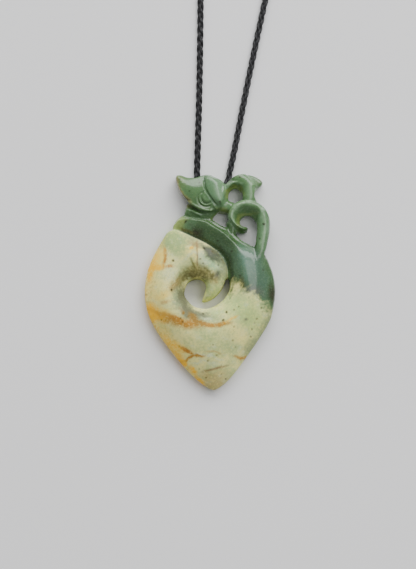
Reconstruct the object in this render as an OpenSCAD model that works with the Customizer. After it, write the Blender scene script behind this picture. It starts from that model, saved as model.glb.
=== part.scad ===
// Hei matau pendant: one carved green stone on a plaited cord that is tied into a loop.
// The stone lies on its flat back. X runs across it, Y towards its head and Z out of its front.
// The origin is the middle of the stone's back, and every length is in millimetres.

/* [Stone] */
// Width of the stone across the hook's body
stone_w = 38.8; // [35:0.1:43]
// Length of the stone from the head's top to the foot
stone_l = 64.5; // [59:0.1:71]
// Thickness at the crown of the hook's body
body_t = 7.6; // [6.6:0.1:9]
// Thickness of the bird's head
head_t = 5.8; // [5.4:0.1:7]
// How far the leaf-shaped crest stands above the head
crest_rise = 0.45; // [0.2:0.05:0.9]
// Thickness of the curled frond
koru_t = 5.8; // [4.6:0.1:7]
// Thickness of the tail fluke
fluke_t = 5.2; // [4.2:0.1:6.5]
// Thickness of the throat between the head and the barb
throat_t = 4.2; // [3.2:0.1:5]
// Thickness of the webs beside the frond
web_t = 3.8; // [2.8:0.1:4.6]
// Radius of the webs' rounded ends
web_r = 1.6; // [1.2:0.1:2.2]
// Rounding along the front edges
edge_round = 1.3; // [0.6:0.1:1.8]
// Rounding along the front edges that face the holes
hole_round = 0.6; // [0.3:0.1:1.2]
// Rounding along the back edges
back_round = 0.8; // [0.3:0.1:1.2]

/* [Carving] */
// Width of the carved lines on the head
line_w = 0.7; // [0.4:0.05:1]
// Depth of the carved lines on the head
line_depth = 0.4; // [0.2:0.05:0.6]
// Radius of the eye's outer ring
eye_outer_r = 2.4; // [2:0.05:2.7]
// Radius of the eye's inner ring
eye_inner_r = 1.35; // [1:0.05:1.5]
// Width of the raised line along the jaw
jaw_w = 0.8; // [0.5:0.05:1.2]
// Height of the raised line along the jaw
jaw_rise = 0.25; // [0.1:0.05:0.5]

/* [Cord] */
// Diameter of the plaited cord
cord_d = 1.7; // [1.4:0.1:2]
// Clearance all round the cord in the stone's channel
cord_gap = 0.3; // [0.2:0.05:0.5]
// Diameter of the knot that closes the loop
knot_d = 4.4; // [3.6:0.1:5.4]
// Length of the knot that closes the loop
knot_len = 7.4; // [6:0.1:9]
// Gap between the knot and each end of the cord
knot_gap = 0.1; // [0.05:0.05:0.3]

/* [Hidden] */

STONE_GREEN = [0.36, 0.55, 0.38];
CORD_BLACK = [0.08, 0.08, 0.09];

// Steps of the smooth stretch between two rows of a section table
ROW_STEPS = 2;
// Points on each flank between an edge and the crown
FLANK_STEPS = 4;
// Sides of the small balls that cut and raise the carved lines
BALL_SIDES = 8;
// Share of a quarter round that its middle point cuts off
QUARTER = 0.293;
// Largest front rounding, as a share of a band's width
ROUND_SHARE = 0.16;

// Columns of every section table. The inner and outer ends are shares of stone_w and stone_l, the
// heights are shares of the band's thickness, the crown's place runs from 0 at the inner end to 1 at
// the outer one, and the crease is 0 for a round crown and 1 for a sharp ridge with hollow flanks.
IN_X = 0; IN_Y = 1; OUT_X = 2; OUT_Y = 3; IN_H = 4; CROWN = 5; CROWN_H = 6; OUT_H = 7; CREASE = 8;

// The hook: up the tongue, round the lobe, the foot and the right side, then along the arm to the barb
HOOK = [
    [-0.061, -0.089, -0.050, -0.094, 0.40, 0.50, 0.46, 0.40, 0.0],
    [-0.044, -0.067,  0.015, -0.083, 0.58, 0.50, 0.72, 0.58, 0.0],
    [-0.028, -0.035,  0.073, -0.051, 0.70, 0.50, 0.86, 0.70, 0.0],
    [-0.034, -0.009,  0.111, -0.012, 0.74, 0.50, 0.90, 0.74, 0.0],
    [-0.057,  0.006,  0.129,  0.032, 0.76, 0.50, 0.93, 0.80, 0.0],
    [-0.084,  0.011,  0.119,  0.081, 0.78, 0.55, 0.95, 0.84, 0.0],
    [-0.107,  0.010,  0.065,  0.129, 0.72, 0.60, 0.96, 0.86, 0.0],
    [-0.126,  0.008, -0.027,  0.171, 0.68, 0.60, 0.95, 0.86, 0.0],
    [-0.146,  0.004, -0.134,  0.202, 0.64, 0.60, 0.93, 0.84, 0.0],
    [-0.161, -0.002, -0.218,  0.227, 0.62, 0.55, 0.92, 0.78, 0.0],
    [-0.172, -0.009, -0.284,  0.237, 0.62, 0.50, 0.92, 0.68, 0.0],
    [-0.181, -0.018, -0.331,  0.223, 0.62, 0.48, 0.92, 0.60, 0.0],
    [-0.188, -0.028, -0.379,  0.176, 0.62, 0.45, 0.94, 0.56, 0.0],
    [-0.192, -0.039, -0.433,  0.116, 0.62, 0.42, 0.96, 0.54, 0.0],
    [-0.195, -0.051, -0.475,  0.051, 0.62, 0.42, 0.97, 0.52, 0.0],
    [-0.194, -0.065, -0.498, -0.037, 0.62, 0.42, 0.98, 0.52, 0.0],
    [-0.184, -0.079, -0.483, -0.127, 0.62, 0.40, 0.98, 0.52, 0.0],
    [-0.162, -0.097, -0.425, -0.210, 0.63, 0.38, 0.99, 0.52, 0.0],
    [-0.132, -0.115, -0.316, -0.306, 0.64, 0.34, 1.00, 0.50, 0.0],
    [-0.096, -0.125, -0.175, -0.408, 0.65, 0.32, 1.00, 0.46, 0.0],
    [-0.061, -0.129, -0.077, -0.463, 0.66, 0.30, 1.00, 0.42, 0.0],
    [-0.034, -0.130, -0.019, -0.488, 0.66, 0.30, 1.00, 0.40, 0.0],
    [-0.011, -0.129,  0.027, -0.499, 0.66, 0.30, 1.00, 0.39, 0.0],
    [ 0.011, -0.125,  0.073, -0.488, 0.66, 0.30, 1.00, 0.40, 0.0],
    [ 0.034, -0.119,  0.161, -0.442, 0.66, 0.32, 1.00, 0.44, 0.0],
    [ 0.065, -0.108,  0.287, -0.342, 0.66, 0.36, 1.00, 0.48, 0.0],
    [ 0.100, -0.091,  0.392, -0.249, 0.66, 0.40, 1.00, 0.50, 0.1],
    [ 0.132, -0.067,  0.467, -0.169, 0.66, 0.42, 1.00, 0.52, 0.2],
    [ 0.149, -0.044,  0.498, -0.079, 0.66, 0.40, 1.00, 0.52, 0.3],
    [ 0.152, -0.021,  0.500, -0.023, 0.65, 0.38, 0.99, 0.52, 0.4],
    [ 0.144,  0.002,  0.485,  0.032, 0.64, 0.38, 0.98, 0.54, 0.4],
    [ 0.130,  0.026,  0.460,  0.074, 0.60, 0.40, 0.97, 0.56, 0.4],
    [ 0.105,  0.058,  0.423,  0.120, 0.54, 0.46, 0.95, 0.58, 0.4],
    [ 0.073,  0.095,  0.339,  0.160, 0.48, 0.54, 0.92, 0.56, 0.5],
    [ 0.023,  0.125,  0.242,  0.192, 0.44, 0.72, 0.86, 0.54, 0.6],
    [-0.042,  0.153,  0.157,  0.241, 0.42, 0.74, 0.80, 0.50, 0.6],
    [-0.107,  0.175,  0.092,  0.260, 0.42, 0.78, 0.74, 0.48, 0.6],
    [-0.169,  0.194,  0.004,  0.295, 0.42, 0.78, 0.69, 0.46, 0.5],
    [-0.218,  0.212, -0.088,  0.306, 0.42, 0.78, 0.64, 0.44, 0.5],
    [-0.249,  0.222, -0.165,  0.310, 0.42, 0.78, 0.60, 0.42, 0.5],
    [-0.268,  0.230, -0.218,  0.305, 0.42, 0.72, 0.56, 0.42, 0.4],
    [-0.279,  0.237, -0.257,  0.282, 0.42, 0.60, 0.50, 0.42, 0.2],
    [-0.285,  0.246, -0.279,  0.261, 0.38, 0.50, 0.42, 0.38, 0.0],
];
// Row of the hook at the foot, where its two halves meet
FOOT = 22;

// The curled frond: up the right side, over the top and round to its tip
KORU = [
    [0.276, 0.080, 0.400, 0.075, 0.40, 0.50, 0.50, 0.40, 0.0],
    [0.326, 0.138, 0.418, 0.124, 0.56, 0.46, 0.72, 0.44, 0.0],
    [0.345, 0.164, 0.435, 0.156, 0.62, 0.50, 0.88, 0.52, 0.0],
    [0.354, 0.190, 0.448, 0.192, 0.60, 0.56, 0.94, 0.58, 0.0],
    [0.360, 0.227, 0.460, 0.229, 0.60, 0.60, 0.97, 0.60, 0.1],
    [0.361, 0.257, 0.464, 0.270, 0.60, 0.62, 0.98, 0.62, 0.1],
    [0.350, 0.278, 0.451, 0.307, 0.60, 0.68, 1.00, 0.66, 0.1],
    [0.330, 0.296, 0.415, 0.342, 0.60, 0.74, 1.00, 0.72, 0.2],
    [0.307, 0.304, 0.364, 0.367, 0.59, 0.78, 1.00, 0.78, 0.2],
    [0.284, 0.306, 0.299, 0.378, 0.58, 0.80, 1.00, 0.82, 0.2],
    [0.261, 0.301, 0.234, 0.375, 0.57, 0.80, 1.00, 0.82, 0.2],
    [0.244, 0.293, 0.180, 0.356, 0.57, 0.80, 1.00, 0.82, 0.2],
    [0.234, 0.283, 0.149, 0.328, 0.57, 0.80, 1.00, 0.82, 0.2],
    [0.231, 0.273, 0.139, 0.298, 0.57, 0.76, 0.98, 0.78, 0.2],
    [0.237, 0.264, 0.156, 0.270, 0.58, 0.62, 0.94, 0.68, 0.2],
    [0.249, 0.257, 0.188, 0.243, 0.62, 0.42, 0.88, 0.56, 0.2],
    [0.265, 0.254, 0.228, 0.226, 0.64, 0.36, 0.82, 0.48, 0.1],
    [0.280, 0.253, 0.263, 0.223, 0.58, 0.38, 0.72, 0.44, 0.1],
    [0.293, 0.250, 0.289, 0.236, 0.44, 0.50, 0.50, 0.42, 0.0],
];

// The tail fluke: from the frond up its stem, out to the tip and over the round hole to the head
FLUKE = [
    [0.238, 0.351, 0.383, 0.358, 0.66, 0.50, 0.84, 0.60, 0.0],
    [0.245, 0.368, 0.354, 0.382, 0.62, 0.52, 0.90, 0.60, 0.2],
    [0.251, 0.384, 0.343, 0.405, 0.60, 0.52, 0.96, 0.60, 0.3],
    [0.253, 0.393, 0.359, 0.428, 0.58, 0.45, 0.98, 0.58, 0.3],
    [0.253, 0.400, 0.396, 0.449, 0.58, 0.38, 1.00, 0.52, 0.3],
    [0.251, 0.407, 0.408, 0.468, 0.58, 0.38, 1.00, 0.50, 0.3],
    [0.244, 0.416, 0.364, 0.489, 0.57, 0.44, 1.00, 0.54, 0.3],
    [0.231, 0.424, 0.303, 0.500, 0.56, 0.50, 1.00, 0.58, 0.3],
    [0.215, 0.431, 0.241, 0.499, 0.56, 0.52, 0.99, 0.60, 0.3],
    [0.195, 0.433, 0.188, 0.487, 0.56, 0.52, 0.96, 0.60, 0.3],
    [0.175, 0.430, 0.138, 0.466, 0.56, 0.52, 0.90, 0.60, 0.2],
    [0.155, 0.421, 0.107, 0.446, 0.58, 0.50, 0.82, 0.62, 0.1],
    [0.144, 0.405, 0.098, 0.414, 0.62, 0.50, 0.74, 0.62, 0.0],
    [0.143, 0.379, 0.098, 0.379, 0.62, 0.50, 0.72, 0.62, 0.0],
    [0.147, 0.352, 0.096, 0.347, 0.60, 0.50, 0.70, 0.60, 0.0],
];

// The bird's head: from its nape to the tip of the beak, with the jaw as the inner edge
HEAD = [
    [ 0.121, 0.384,  0.125, 0.446, 0.60, 0.50, 0.72, 0.60, 0.0],
    [ 0.103, 0.356,  0.107, 0.461, 0.76, 0.50, 0.90, 0.72, 0.0],
    [ 0.073, 0.336,  0.079, 0.470, 0.80, 0.50, 0.95, 0.76, 0.0],
    [ 0.031, 0.325,  0.046, 0.484, 0.82, 0.50, 0.98, 0.76, 0.0],
    [-0.019, 0.323,  0.011, 0.496, 0.84, 0.48, 1.00, 0.76, 0.0],
    [-0.073, 0.332, -0.027, 0.499, 0.84, 0.46, 1.00, 0.76, 0.0],
    [-0.124, 0.349, -0.065, 0.494, 0.84, 0.44, 0.99, 0.76, 0.0],
    [-0.169, 0.371, -0.103, 0.485, 0.84, 0.42, 0.96, 0.76, 0.0],
    [-0.205, 0.397, -0.142, 0.484, 0.82, 0.42, 0.92, 0.74, 0.0],
    [-0.235, 0.425, -0.180, 0.486, 0.78, 0.44, 0.87, 0.70, 0.0],
    [-0.254, 0.458, -0.218, 0.495, 0.70, 0.46, 0.78, 0.64, 0.0],
    [-0.264, 0.482, -0.252, 0.499, 0.54, 0.50, 0.60, 0.52, 0.0],
];

// The leaf-shaped crest behind the brow, from the head's top down to its point
CREST = [
    [0.010, 0.492, -0.044, 0.490, 0.60, 0.50, 0.72, 0.62, 0.0],
    [0.062, 0.480, -0.039, 0.470, 0.66, 0.58, 0.94, 0.88, 0.0],
    [0.100, 0.464, -0.029, 0.443, 0.70, 0.62, 1.00, 0.96, 0.0],
    [0.116, 0.440, -0.011, 0.418, 0.72, 0.64, 1.00, 0.97, 0.0],
    [0.119, 0.414,  0.013, 0.396, 0.72, 0.64, 1.00, 0.97, 0.0],
    [0.117, 0.391,  0.040, 0.377, 0.72, 0.62, 1.00, 0.96, 0.0],
    [0.106, 0.369,  0.067, 0.361, 0.70, 0.56, 0.95, 0.90, 0.0],
    [0.096, 0.356,  0.079, 0.352, 0.62, 0.50, 0.78, 0.72, 0.0],
];

// The throat: a low saddle from the round hole's side to the outline below the beak
THROAT = [
    [ 0.080, 0.330,  0.090, 0.356, 0.76, 0.50, 0.90, 0.84, 0.0],
    [ 0.046, 0.313,  0.060, 0.356, 0.74, 0.50, 0.90, 0.84, 0.0],
    [ 0.008, 0.284,  0.030, 0.356, 0.66, 0.50, 0.88, 0.80, 0.2],
    [-0.046, 0.256, -0.030, 0.352, 0.62, 0.55, 0.94, 0.76, 0.3],
    [-0.107, 0.262, -0.092, 0.354, 0.62, 0.60, 1.00, 0.76, 0.4],
    [-0.161, 0.274, -0.146, 0.360, 0.62, 0.62, 0.98, 0.76, 0.4],
    [-0.192, 0.284, -0.172, 0.364, 0.60, 0.60, 0.86, 0.72, 0.2],
    [-0.204, 0.292, -0.180, 0.356, 0.52, 0.50, 0.66, 0.56, 0.0],
];

// Middles of the webs' ends, as shares of stone_w and stone_l: below the head, beside the frond,
// and from the frond to the arm
HEAD_WEB = [[0.070, 0.347], [0.108, 0.362], [0.168, 0.352], [0.160, 0.338]];
FROND_WEB = [[0.168, 0.352], [0.168, 0.308]];
ARM_WEB = [[0.160, 0.268], [0.172, 0.230]];

// Middle of the bird's eye, as shares of stone_w and stone_l, and the turn that its rings take
EYE = [-0.032, 0.385];
EYE_TURN = [95, 325];
EYE_STEPS = 8;

// Lines on the head, as shares of stone_w and stone_l: the brow's groove and the raised jaw
BROW_LINE = [
    [-0.046, 0.470], [-0.036, 0.449], [-0.031, 0.433], [-0.020, 0.416],
    [-0.008, 0.402], [0.010, 0.388], [0.031, 0.374], [0.054, 0.361],
];
JAW_LINE = [
    [-0.237, 0.447], [-0.214, 0.417], [-0.189, 0.394], [-0.148, 0.361],
    [-0.112, 0.346], [-0.074, 0.333], [-0.036, 0.326], [0.015, 0.328],
];

// Middle of the knot
KNOT = [19.5, 294];
// Route of the cord's centre line between the knot's two leads. It goes down the left side, through
// the channel in the stone's back and over its bridge, and up the right side.
LOOP = [
    [2, 293, 1.2], [-11, 288.5, 0.9], [-24, 277, 0.9], [-32.5, 259, 0.9], [-34.5, 236, 0.9],
    [-30.5, 211, 0.9], [-23.5, 186, 0.9], [-16, 163, 0.9], [-9.5, 141, 0.9], [-4.8, 120, 0.9],
    [-2.8, 101, 0.9], [-2.8, 83, 0.9], [-3.1, 60, 0.9], [-3.6, 41, 0.9],
    [-3.8, 33.4, 0.9], [-3.8, 31.2, 1.1], [-3.5, 29.4, 1.7], [-2.4, 28, 2.3], [-0.6, 27.3, 2.6],
    [1.6, 27.3, 2.6], [3.5, 28, 2.3], [4.9, 29.4, 1.7], [5.6, 31.2, 1.1], [6, 33.4, 0.9],
    [7.6, 41, 0.9], [11.3, 60, 0.9], [16.1, 83, 0.9], [20.5, 103, 0.9], [27, 126, 0.9],
    [35.5, 149, 0.9], [45.5, 172, 0.9], [55.5, 195, 0.9], [64.5, 218, 0.9], [70, 241, 0.9],
    [69, 262, 0.9], [61, 279, 0.9], [49, 289.5, 0.9], [37, 293, 1.2],
];
// First and last point of the loop in the stone's channel, and of its stretch over the bridge
CHANNEL = [14, 23];
BRIDGE = [17, 20];
// Length of the straight lead at each end of the knot
LEAD = 5;
// Steps of the smooth stretch between two points of the loop
LOOP_STEPS = 2;
// Sides of the cord's tube
CORD_SIDES = 8;
// The knot's outline, as shares of half its diameter and of its length
KNOT_SHAPE = [
    [0, 0], [0.46, 0], [0.84, 0.14], [1, 0.34], [1, 0.66], [0.84, 0.86], [0.46, 1], [0, 1],
];

// Smooth stretch from b to c, with a and d as the rows before and after them
function eased(a, b, c, d, t) =
    0.5 * (2 * b + (c - a) * t + (2 * a - 5 * b + 4 * c - d) * t * t
        + (3 * b - a - 3 * c + d) * t * t * t);

// The rows with steps - 1 smooth ones between each pair
function smooth_rows(rows, steps) = [
    for (i = [0 : len(rows) - 2], k = [0 : steps - 1])
        eased(rows[max(i - 1, 0)], rows[i], rows[i + 1], rows[min(i + 2, len(rows) - 1)], k / steps),
    rows[len(rows) - 1]
];

// Height on a flank, from the edge at 0 to the crown at 1
function flank(edge_h, crown_h, crease, s) =
    edge_h + (crown_h - edge_h) * ((1 - crease) * sin(90 * s) + crease * (1 - cos(90 * s)));

// Outline of a section as [distance from the inner end, height], round from the flat back
function profile(width, in_h, crown, crown_h, out_h, crease) =
    let (
        front = min(edge_round, ROUND_SHARE * width, 0.6 * out_h),
        hole = min(hole_round, ROUND_SHARE * width, 0.6 * in_h),
        back = min(back_round, 0.3 * width, 0.35 * min(in_h, out_h)),
        top = max(hole * 1.5, min(width - front * 1.5, crown * width))
    )
    concat(
        [
            [back, 0], [width - back, 0], [width - QUARTER * back, QUARTER * back], [width, back],
            [width, out_h - front], [width - QUARTER * front, out_h - QUARTER * front],
        ],
        [for (k = [0 : FLANK_STEPS - 1]) let (s = k / FLANK_STEPS)
            [width - front + (top - width + front) * s, flank(out_h, crown_h, crease, s)]],
        [for (k = [0 : FLANK_STEPS]) let (s = 1 - k / FLANK_STEPS)
            [hole + (top - hole) * s, flank(in_h, crown_h, crease, s)]],
        [
            [QUARTER * hole, in_h - QUARTER * hole], [0, in_h - hole],
            [0, back], [QUARTER * back, QUARTER * back],
        ]
    );

// One ring of a band, standing on the line from the row's inner end to its outer end
function section_ring(row, thick) =
    let (
        inner = [row[IN_X] * stone_w, row[IN_Y] * stone_l],
        outer = [row[OUT_X] * stone_w, row[OUT_Y] * stone_l],
        width = norm(outer - inner),
        along = (outer - inner) / width
    )
    [for (p = profile(width, row[IN_H] * thick, row[CROWN], row[CROWN_H] * thick,
                      row[OUT_H] * thick, row[CREASE]))
        [inner[0] + along[0] * p[0], inner[1] + along[1] * p[0], p[1]]];

// Faces between rings of n points, with both ends closed
function ring_faces(rings, n) = concat(
    [[for (j = [0 : n - 1]) n - 1 - j]],
    [for (i = [0 : rings - 2], j = [0 : n - 1]) let (k = (j + 1) % n)
        each [[i * n + j, (i + 1) * n + k, (i + 1) * n + j], [i * n + j, i * n + k, (i + 1) * n + k]]],
    [[for (j = [0 : n - 1]) (rings - 1) * n + j]]
);

// A solid through rings of points
module skin(rings) {
    polyhedron(points = [for (r = rings) each r], faces = ring_faces(len(rings), len(rings[0])));
}

// A carved band through the rows of a section table, or through those from first to last
module band(rows, thick, first = 0, last = undef) {
    smooth = smooth_rows(rows, ROW_STEPS);
    end = is_undef(last) ? len(rows) - 1 : last;
    skin([for (i = [first * ROW_STEPS : end * ROW_STEPS]) section_ring(smooth[i], thick)]);
}

// A low rounded web between two middles, flat at the back
module web(middles) {
    intersection() {
        hull() {
            for (m = middles) {
                translate([m[0] * stone_w, m[1] * stone_l, 0])
                    scale([web_r, web_r, web_t])
                        sphere(r = 1, $fn = 20);
            }
        }
        translate([-stone_w, -stone_l, 0])
            cube([2 * stone_w, 2 * stone_l, body_t]);
    }
}

// Balls joined in a line through points in millimetres
module beaded_line(points, radius) {
    for (i = [0 : len(points) - 2]) {
        hull() {
            translate(points[i]) sphere(r = radius, $fn = BALL_SIDES);
            translate(points[i + 1]) sphere(r = radius, $fn = BALL_SIDES);
        }
    }
}

// A place given as shares of the stone's width and length
function on_stone(x, y) = [x * stone_w, y * stone_l];

// Height of a section's front where a point lies across it
function height_in(row, thick, point) =
    let (
        inner = on_stone(row[IN_X], row[IN_Y]),
        across = on_stone(row[OUT_X], row[OUT_Y]) - inner,
        t = (point - inner) * across / (across * across),
        s = t < row[CROWN] ? t / row[CROWN] : (1 - t) / (1 - row[CROWN])
    )
    thick * flank(t < row[CROWN] ? row[IN_H] : row[OUT_H], row[CROWN_H], row[CREASE], max(0, s));

// Distance of a point from the line that a section stands on
function off_section(row, point) =
    let (
        inner = on_stone(row[IN_X], row[IN_Y]),
        across = on_stone(row[OUT_X], row[OUT_Y]) - inner
    )
    abs(cross(point - inner, across)) / norm(across);

// Points on the head, lifted by an amount above its front
function on_head(points, lift) =
    let (rows = smooth_rows(HEAD, 2 * ROW_STEPS))
    [for (p = points)
        let (off = [for (row = rows) off_section(row, p)], row = rows[search(min(off), off)[0]])
        [p[0], p[1], height_in(row, head_t, p) + lift]];

// Places of one ring of the eye
function eye_ring(radius) = [
    for (k = [0 : EYE_STEPS])
        let (a = EYE_TURN[0] + (EYE_TURN[1] - EYE_TURN[0]) * k / EYE_STEPS)
        on_stone(EYE[0], EYE[1]) + radius * [cos(a), sin(a)]
];

// Places of a line that is given in shares
function line_places(line) = [for (p = line) on_stone(p[0], p[1])];

// The carved lines of the head: the brow and the eye's two rings
module head_lines() {
    lift = line_w / 2 - line_depth;
    for (places = [line_places(BROW_LINE), eye_ring(eye_outer_r), eye_ring(eye_inner_r)]) {
        beaded_line(on_head(places, lift), line_w / 2);
    }
}

// The channel that the cord runs in, open at the back but for the bridge
module cord_channel() {
    radius = cord_d / 2 + cord_gap;
    for (i = [CHANNEL[0] : CHANNEL[1] - 1]) {
        open = i < BRIDGE[0] || i >= BRIDGE[1];
        hull() {
            for (p = [LOOP[i], LOOP[i + 1]]) {
                translate(p) sphere(r = radius, $fn = 16);
                if (open) {
                    translate([p[0], p[1], -radius]) cylinder(r = radius, h = p[2] + radius, $fn = 16);
                }
            }
        }
    }
}

// The stone, carved from one piece
module carved_stone() {
    color(STONE_GREEN)
        difference() {
            union() {
                band(HOOK, body_t, last = FOOT);
                band(HOOK, body_t, first = FOOT);
                band(KORU, koru_t);
                band(FLUKE, fluke_t);
                band(HEAD, head_t);
                band(CREST, head_t + crest_rise);
                band(THROAT, throat_t);
                web(HEAD_WEB);
                web(FROND_WEB);
                web(ARM_WEB);
                beaded_line(on_head(line_places(JAW_LINE), jaw_rise - jaw_w / 2), jaw_w / 2);
            }
            head_lines();
            cord_channel();
        }
}

// The cord's two points beside the knot, on the side that side gives as -1 or 1
function knot_end(side, lead) =
    [KNOT[0] + side * (knot_len / 2 + knot_gap + lead), KNOT[1], knot_d / 2];

// Direction of a path at its point i
function heading(path, i) =
    let (d = path[min(i + 1, len(path) - 1)] - path[max(i - 1, 0)])
    d / norm(d);

// One ring of the cord, square to its heading
function cord_ring(middle, ahead) =
    let (
        flat = cross(ahead, [0, 0, 1]),
        side = flat / norm(flat),
        up = cross(side, ahead)
    )
    [for (j = [0 : CORD_SIDES - 1]) let (a = 360 * (j + 0.5) / CORD_SIDES)
        middle + cord_d / 2 * (cos(a) * side + sin(a) * up)];

// The plaited cord as a plain tube along its whole route
module plaited_cord() {
    route = concat(
        [knot_end(-1, 0), knot_end(-1, LEAD)], LOOP, [knot_end(1, LEAD), knot_end(1, 0)]
    );
    path = smooth_rows(route, LOOP_STEPS);
    color(CORD_BLACK)
        skin([for (i = [0 : len(path) - 1]) cord_ring(path[i], heading(path, i))]);
}

// The knot that closes the loop, a plain barrel between the cord's two ends
module closing_knot() {
    color(CORD_BLACK)
        translate([KNOT[0] - knot_len / 2, KNOT[1], knot_d / 2])
            rotate([0, 90, 0])
                rotate_extrude($fn = 24)
                    polygon([for (p = KNOT_SHAPE) [p[0] * knot_d / 2, p[1] * knot_len]]);
}

carved_stone();
plaited_cord();
closing_knot();
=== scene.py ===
"""Looks of a carved green stone hook pendant on a plaited cord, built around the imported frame."""

import logging
import math
from dataclasses import dataclass, field
from enum import Enum
from typing import Any, Callable, Iterable, Sequence

import bmesh
import bpy
import numpy as np
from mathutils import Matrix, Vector, noise


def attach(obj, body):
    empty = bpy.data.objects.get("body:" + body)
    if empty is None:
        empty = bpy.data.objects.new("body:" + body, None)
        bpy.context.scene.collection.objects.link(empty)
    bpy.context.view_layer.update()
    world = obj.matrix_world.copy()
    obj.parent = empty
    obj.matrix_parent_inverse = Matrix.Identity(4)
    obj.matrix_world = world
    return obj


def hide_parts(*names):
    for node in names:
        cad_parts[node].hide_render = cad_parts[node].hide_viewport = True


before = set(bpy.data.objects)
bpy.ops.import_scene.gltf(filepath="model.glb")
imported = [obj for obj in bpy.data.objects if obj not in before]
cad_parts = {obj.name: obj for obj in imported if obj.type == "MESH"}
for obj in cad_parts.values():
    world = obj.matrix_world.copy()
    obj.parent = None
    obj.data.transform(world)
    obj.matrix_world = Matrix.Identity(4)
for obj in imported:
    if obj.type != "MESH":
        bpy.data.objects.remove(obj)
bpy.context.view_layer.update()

MM = 0.001
ROOT = "root"
STONE_NODE = "carved_stone"
CORD_NODE = "plaited_cord"
KNOT_NODE = "closing_knot"
GREEN_SIDE, PALE_TINT, GREEN_TINT, VEIN_TINT = "green_side", "pale_tint", "green_tint", "vein_tint"
PHOTO_HIGH = 569
MM_PER_PIXEL = 0.297
# Without a seed the vector noise starts from the clock
NOISE_SEED = 2
# Gaps that differ by less count as the same, and shares below it as none
TINY = 1e-6

log = logging.getLogger("hook_pendant")

Spot = tuple[float, float, float]
Place = tuple[float, float]
Colour = Spot
Rows = np.ndarray
Piece = bpy.types.Object

# Middle of the knot and the height of its axis, in millimetres
KNOT_MIDDLE = (19.5, 294.0, 2.2)
# Half the knot with its gap, and the length of the straight lead beside it
KNOT_REACH, LEAD = 3.8, 5.0
# Route of the cord's centre line between the two leads, in millimetres, as in the solid model
CORD_ROUTE = (
    (2, 293, 1.2), (-11, 288.5, 0.9), (-24, 277, 0.9), (-32.5, 259, 0.9), (-34.5, 236, 0.9),
    (-30.5, 211, 0.9), (-23.5, 186, 0.9), (-16, 163, 0.9), (-9.5, 141, 0.9), (-4.8, 120, 0.9),
    (-2.8, 101, 0.9), (-2.8, 83, 0.9), (-3.1, 60, 0.9), (-3.6, 41, 0.9),
    (-3.8, 33.4, 0.9), (-3.8, 31.2, 1.1), (-3.5, 29.4, 1.7), (-2.4, 28, 2.3), (-0.6, 27.3, 2.6),
    (1.6, 27.3, 2.6), (3.5, 28, 2.3), (4.9, 29.4, 1.7), (5.6, 31.2, 1.1), (6, 33.4, 0.9),
    (7.6, 41, 0.9), (11.3, 60, 0.9), (16.1, 83, 0.9), (20.5, 103, 0.9), (27, 126, 0.9),
    (35.5, 149, 0.9), (45.5, 172, 0.9), (55.5, 195, 0.9), (64.5, 218, 0.9), (70, 241, 0.9),
    (69, 262, 0.9), (61, 279, 0.9), (49, 289.5, 0.9), (37, 293, 1.2),
)


class Carving(Enum):
    """How a line on the stone is worked."""

    CUT = "cut"
    RAISED = "raised"
    STEP = "raised on its left"


@dataclass(frozen=True)
class CarvedLine:
    """A line worked into the stone's front, through places in millimetres."""

    width: float
    height: float
    fade: float
    places: tuple[Place, ...]
    kind: Carving = Carving.RAISED


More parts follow.
